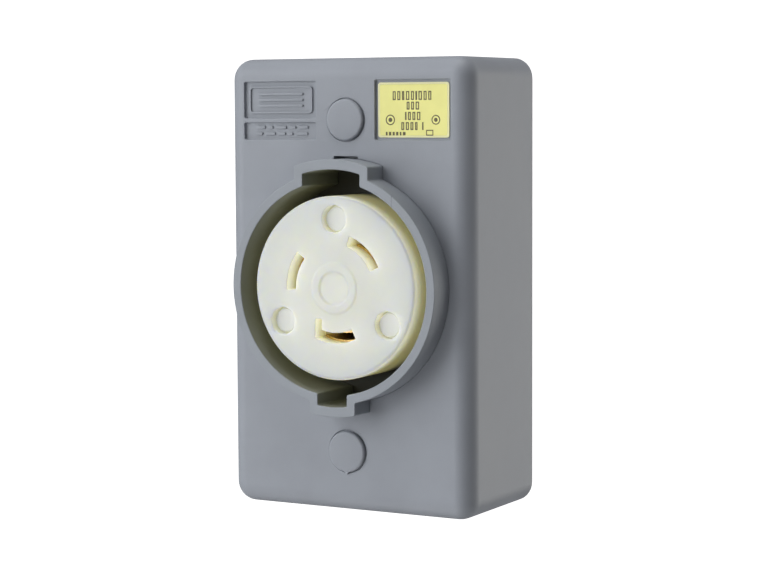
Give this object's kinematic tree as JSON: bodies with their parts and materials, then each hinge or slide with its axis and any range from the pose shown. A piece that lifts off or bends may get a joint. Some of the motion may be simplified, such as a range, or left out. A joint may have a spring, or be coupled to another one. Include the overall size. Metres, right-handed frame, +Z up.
{
  "type": "generator inlet box",
  "caption": "Surface-mounted single-gang plastic box holding a locking power receptacle inside a keyed safety shroud, with press-in caps over its cover screws.",
  "frame": {"origin": "centre of the base plate's back face, in the plane of the wall that carries the box", "axes": "+X to the right as seen from the front, +Y into the wall, so the front faces -Y, and +Z up the wall, along the box's height"},
  "size_m": [0.0698, 0.0428, 0.1142],
  "materials": {
    "grey_plastic": "fine matt moulded texture, light blue-grey",
    "white_nylon": "satin white nylon, slightly translucent",
    "dark_thermoset": "matt black thermoset moulding",
    "zinc_steel": "bright zinc plate",
    "brass": "bright rolled brass",
    "label_film": "yellow printed film, satin"
  },
  "bodies": {
    "base": {"base_plate": "grey_plastic"},
    "device": {"receptacle_face": "white_nylon", "socket_ring": "grey_plastic", "receptacle_body": "dark_thermoset", "rear_cap": "dark_thermoset", "mounting_strap": "zinc_steel", "face_plug_1": "white_nylon", "face_plug_2": "white_nylon", "face_plug_3": "white_nylon", "assembly_screw_1": "zinc_steel", "assembly_screw_2": "zinc_steel", "assembly_screw_3": "zinc_steel", "line_contact": "brass", "neutral_contact": "brass", "ground_contact": "brass"},
    "cover": {"front_housing": "grey_plastic", "safety_shroud": "grey_plastic", "rating_label": "label_film"},
    "cap_upper": {"screw_cap_upper": "grey_plastic"},
    "cap_lower": {"screw_cap_lower": "grey_plastic"},
    "screw_upper": {"cover_screw_upper": "zinc_steel"},
    "screw_lower": {"cover_screw_lower": "zinc_steel"},
    "line_screw": {"line_terminal_screw": "zinc_steel"},
    "line_jaw": {"line_clamp": "zinc_steel"},
    "neutral_screw": {"neutral_terminal_screw": "zinc_steel"},
    "neutral_jaw": {"neutral_clamp": "zinc_steel"},
    "ground_screw": {"ground_terminal_screw": "zinc_steel"},
    "ground_jaw": {"ground_clamp": "zinc_steel"}
  },
  "joints": [
    {"name": "device_lift", "type": "slide", "parent": "base", "child": "device", "axis": [0, -1, 0], "range_m": [0, 0.03]},
    {"name": "cover_lift", "type": "slide", "parent": "device", "child": "cover", "axis": [0, -1, 0], "range_m": [0, 0.045]},
    {"name": "cap_upper_pull", "type": "slide", "parent": "cover", "child": "cap_upper", "axis": [0, -1, 0], "range_m": [0, 0.009]},
    {"name": "cap_lower_pull", "type": "slide", "parent": "cover", "child": "cap_lower", "axis": [0, -1, 0], "range_m": [0, 0.009]},
    {"name": "screw_upper_turn", "type": "hinge", "parent": "cover", "child": "screw_upper", "pos_m": [0, -0.028, 0.04167], "axis": [0, 1, 0], "continuous": true},
    {"name": "screw_lower_turn", "type": "hinge", "parent": "cover", "child": "screw_lower", "pos_m": [0, -0.028, -0.04167], "axis": [0, 1, 0], "continuous": true},
    {"name": "line_screw_turn", "type": "hinge", "parent": "device", "child": "line_screw", "pos_m": [-0.01679, -0.0125, 0.00562], "axis": [0, 1, 0], "range_deg": [0, 1440]},
    {"name": "line_clamp_run", "type": "slide", "parent": "device", "child": "line_jaw", "axis": [0, -1, 0], "range_m": [0, 0.00317]},
    {"name": "neutral_screw_turn", "type": "hinge", "parent": "device", "child": "neutral_screw", "pos_m": [0.01192, -0.0125, 0.01308], "axis": [0, 1, 0], "range_deg": [0, 1440]},
    {"name": "neutral_clamp_run", "type": "slide", "parent": "device", "child": "neutral_jaw", "axis": [0, -1, 0], "range_m": [0, 0.00317]},
    {"name": "ground_screw_turn", "type": "hinge", "parent": "device", "child": "ground_screw", "pos_m": [0.00031, -0.0125, -0.0177], "axis": [0, 1, 0], "range_deg": [0, 1440]},
    {"name": "ground_clamp_run", "type": "slide", "parent": "device", "child": "ground_jaw", "axis": [0, -1, 0], "range_m": [0, 0.00317]}
  ],
  "couplings": [
    {"joint": "line_screw_turn", "follows": "line_clamp_run", "rad_per_m": 7915.8},
    {"joint": "neutral_screw_turn", "follows": "neutral_clamp_run", "rad_per_m": 7915.8},
    {"joint": "ground_screw_turn", "follows": "ground_clamp_run", "rad_per_m": 7915.8}
  ]
}
